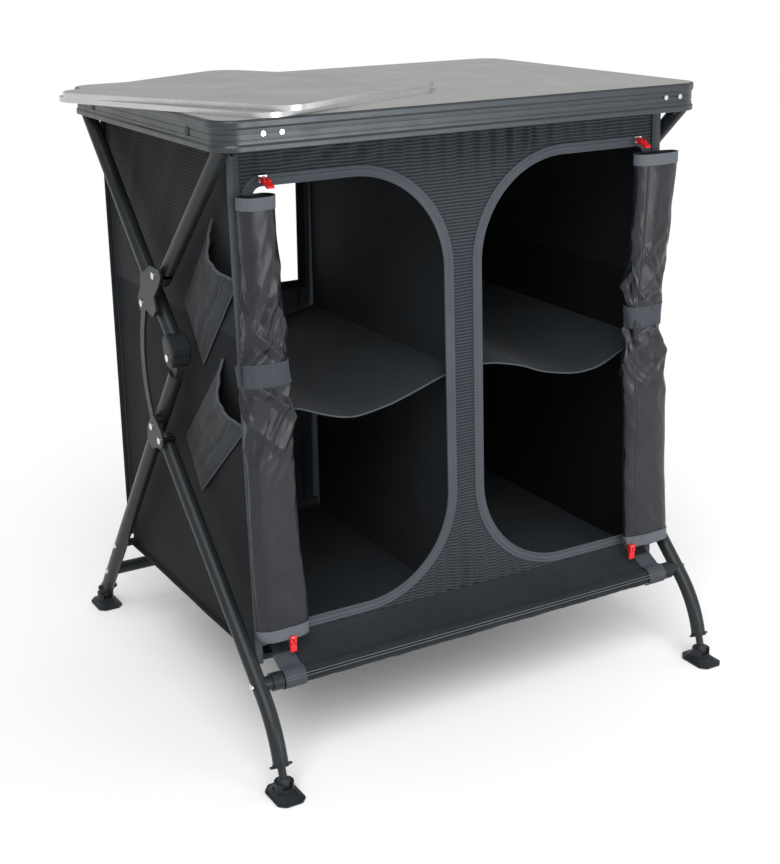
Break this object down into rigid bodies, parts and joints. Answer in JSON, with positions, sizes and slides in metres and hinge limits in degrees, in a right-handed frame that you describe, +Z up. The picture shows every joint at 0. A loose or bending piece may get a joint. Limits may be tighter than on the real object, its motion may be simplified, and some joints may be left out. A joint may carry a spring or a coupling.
{
  "type": "camping kitchen unit",
  "caption": "Folding camping kitchen unit with a laminate worktop, scissor legs, a charcoal fabric cabinet with two rolled-up doors and shelves, and loose boards on top",
  "frame": {"origin": "on the floor under the middle of the worktop", "axes": "+Z up, -Y is the front with the two doors, +X is to the right of the front seen from behind it, so to the right in a front view"},
  "size_m": [0.7649, 0.6891, 0.8122],
  "materials": {
    "worktop_laminate": "pale warm grey laminate, satin",
    "rim_metal": "anthracite satin anodised",
    "frame_metal": "anthracite satin coating",
    "bracket_metal": "dark satin coating",
    "rivet_metal": "bright",
    "black_plastic": "moulded",
    "foot_rubber": "moulded",
    "cabinet_fabric": "charcoal woven, coated",
    "front_mesh": "ribbed mesh",
    "roll_fabric": "coated, slight sheen",
    "zip_tape": "woven tape",
    "pull_plastic": "red",
    "board_laminate": "pale grey laminate",
    "board_edge": "bright satin"
  },
  "bodies": {
    "worktop": {"worktop_panel": "worktop_laminate", "worktop_rim": "rim_metal", "rim_rivets": "rivet_metal", "rim_side_plugs": "black_plastic", "arm_lugs": "bracket_metal", "arm_pins": "rivet_metal", "cabinet_left_wall": "cabinet_fabric", "cabinet_right_wall": "cabinet_fabric", "cabinet_divider": "cabinet_fabric", "cabinet_floor": "cabinet_fabric", "cabinet_back_wall": "cabinet_fabric", "cabinet_front_panel": "front_mesh", "door_zip_tapes": "zip_tape", "shelf_left": "cabinet_fabric", "shelf_right": "cabinet_fabric", "door_roll_left": "roll_fabric", "door_roll_right": "roll_fabric", "roll_straps": "zip_tape", "upper_zip_sliders": "rivet_metal", "side_pocket_upper": "cabinet_fabric", "side_pocket_lower": "cabinet_fabric"},
    "front_arms": {"front_arm_left": "frame_metal", "front_arm_right": "frame_metal", "front_arm_end_plugs": "black_plastic"},
    "rear_arms": {"rear_arm_left": "frame_metal", "rear_arm_right": "frame_metal", "crossing_brackets": "bracket_metal", "elbow_housings": "bracket_metal", "rear_arm_pins": "rivet_metal"},
    "rear_legs": {"rear_leg_left": "frame_metal", "rear_leg_right": "frame_metal", "elbow_tongues": "bracket_metal", "scissor_brackets": "bracket_metal", "rear_leg_pins": "rivet_metal", "rear_leg_caps": "black_plastic", "rear_cross_tube": "frame_metal", "rear_hem_rod": "frame_metal"},
    "front_legs": {"front_leg_left": "frame_metal", "front_leg_right": "frame_metal", "front_leg_eyes": "black_plastic", "front_leg_caps": "black_plastic", "front_cross_tube": "frame_metal", "front_leg_rivets": "rivet_metal", "front_tube_collars": "black_plastic", "front_tube_sleeve": "cabinet_fabric", "front_apron": "cabinet_fabric", "lower_zip_sliders": "rivet_metal"},
    "elbow_stays": {"elbow_stays": "bracket_metal"},
    "foot_front_left": {"foot_pad_front_left": "foot_rubber"},
    "foot_front_right": {"foot_pad_front_right": "foot_rubber"},
    "foot_rear_left": {"foot_pad_rear_left": "foot_rubber"},
    "foot_rear_right": {"foot_pad_rear_right": "foot_rubber"},
    "upper_pull_left": {"upper_zip_pull_left": "pull_plastic"},
    "upper_pull_right": {"upper_zip_pull_right": "pull_plastic"},
    "lower_pull_left": {"lower_zip_pull_left": "pull_plastic"},
    "lower_pull_right": {"lower_zip_pull_right": "pull_plastic"},
    "lower_board": {"lower_board": "board_laminate", "lower_board_edge": "board_edge"},
    "upper_board": {"upper_board": "board_laminate", "upper_board_edge": "board_edge"}
  },
  "joints": [
    {"name": "rear_arm_fold", "type": "hinge", "parent": "worktop", "child": "rear_arms", "pos_m": [0, 0.219, 0.7703], "axis": [-1, 0, 0], "range_deg": [0, 20], "deforming": ["cabinet_left_wall", "cabinet_right_wall", "cabinet_divider", "cabinet_floor", "cabinet_back_wall", "cabinet_front_panel", "door_zip_tapes", "shelf_left", "shelf_right", "door_roll_left", "door_roll_right", "roll_straps", "side_pocket_upper", "side_pocket_lower"]},
    {"name": "front_arm_fold", "type": "hinge", "parent": "worktop", "child": "front_arms", "pos_m": [0, -0.22, 0.7665], "axis": [1, 0, 0], "range_deg": [0, 42.65]},
    {"name": "elbow_fold", "type": "hinge", "parent": "rear_arms", "child": "rear_legs", "pos_m": [0, -0.0525, 0.4899], "axis": [1, 0, 0], "range_deg": [0, 79]},
    {"name": "scissor_fold", "type": "hinge", "parent": "rear_legs", "child": "front_legs", "pos_m": [0, -0.0119, 0.3689], "axis": [1, 0, 0], "range_deg": [0, 74], "deforming": ["front_apron"]},
    {"name": "stay_fold", "type": "hinge", "parent": "rear_arms", "child": "elbow_stays", "pos_m": [0, 0.0174, 0.5466], "axis": [1, 0, 0], "range_deg": [0, 132]},
    {"name": "foot_tilt_front_left", "type": "hinge", "parent": "front_legs", "child": "foot_front_left", "pos_m": [-0.3305, -0.3159, 0.017], "axis": [1, 0, 0], "range_deg": [-20, 20]},
    {"name": "foot_tilt_front_right", "type": "hinge", "parent": "front_legs", "child": "foot_front_right", "pos_m": [0.3305, -0.3159, 0.017], "axis": [1, 0, 0], "range_deg": [-20, 20]},
    {"name": "foot_tilt_rear_left", "type": "hinge", "parent": "rear_legs", "child": "foot_rear_left", "pos_m": [-0.328, 0.3172, 0.017], "axis": [1, 0, 0], "range_deg": [-20, 20]},
    {"name": "foot_tilt_rear_right", "type": "hinge", "parent": "rear_legs", "child": "foot_rear_right", "pos_m": [0.328, 0.3172, 0.017], "axis": [1, 0, 0], "range_deg": [-20, 20]},
    {"name": "upper_pull_swing_left", "type": "hinge", "parent": "worktop", "child": "upper_pull_left", "pos_m": [-0.272, -0.20883, 0.7275], "axis": [-1, 0, 0], "range_deg": [0, 80]},
    {"name": "upper_pull_swing_right", "type": "hinge", "parent": "worktop", "child": "upper_pull_right", "pos_m": [0.272, -0.20883, 0.7275], "axis": [-1, 0, 0], "range_deg": [0, 80]},
    {"name": "lower_pull_swing_left", "type": "hinge", "parent": "front_legs", "child": "lower_pull_left", "pos_m": [-0.276, -0.2432, 0.166], "axis": [-1, 0, 0], "range_deg": [0, 70]},
    {"name": "lower_pull_swing_right", "type": "hinge", "parent": "front_legs", "child": "lower_pull_right", "pos_m": [0.257, -0.2432, 0.166], "axis": [-1, 0, 0], "range_deg": [0, 70]},
    {"name": "lower_board_lift", "type": "slide", "parent": "worktop", "child": "lower_board", "axis": [0, 0, 1], "range_m": [0, 0.12]},
    {"name": "upper_board_lift", "type": "slide", "parent": "lower_board", "child": "upper_board", "axis": [0, 0, 1], "range_m": [0, 0.12]}
  ],
  "couplings": [
    {"joint": "front_arm_fold", "follows": "rear_arm_fold", "ratio": 2.1325},
    {"joint": "elbow_fold", "follows": "rear_arm_fold", "ratio": 3.95},
    {"joint": "scissor_fold", "follows": "rear_arm_fold", "ratio": 3.7},
    {"joint": "stay_fold", "follows": "rear_arm_fold", "ratio": 6.6}
  ]
}
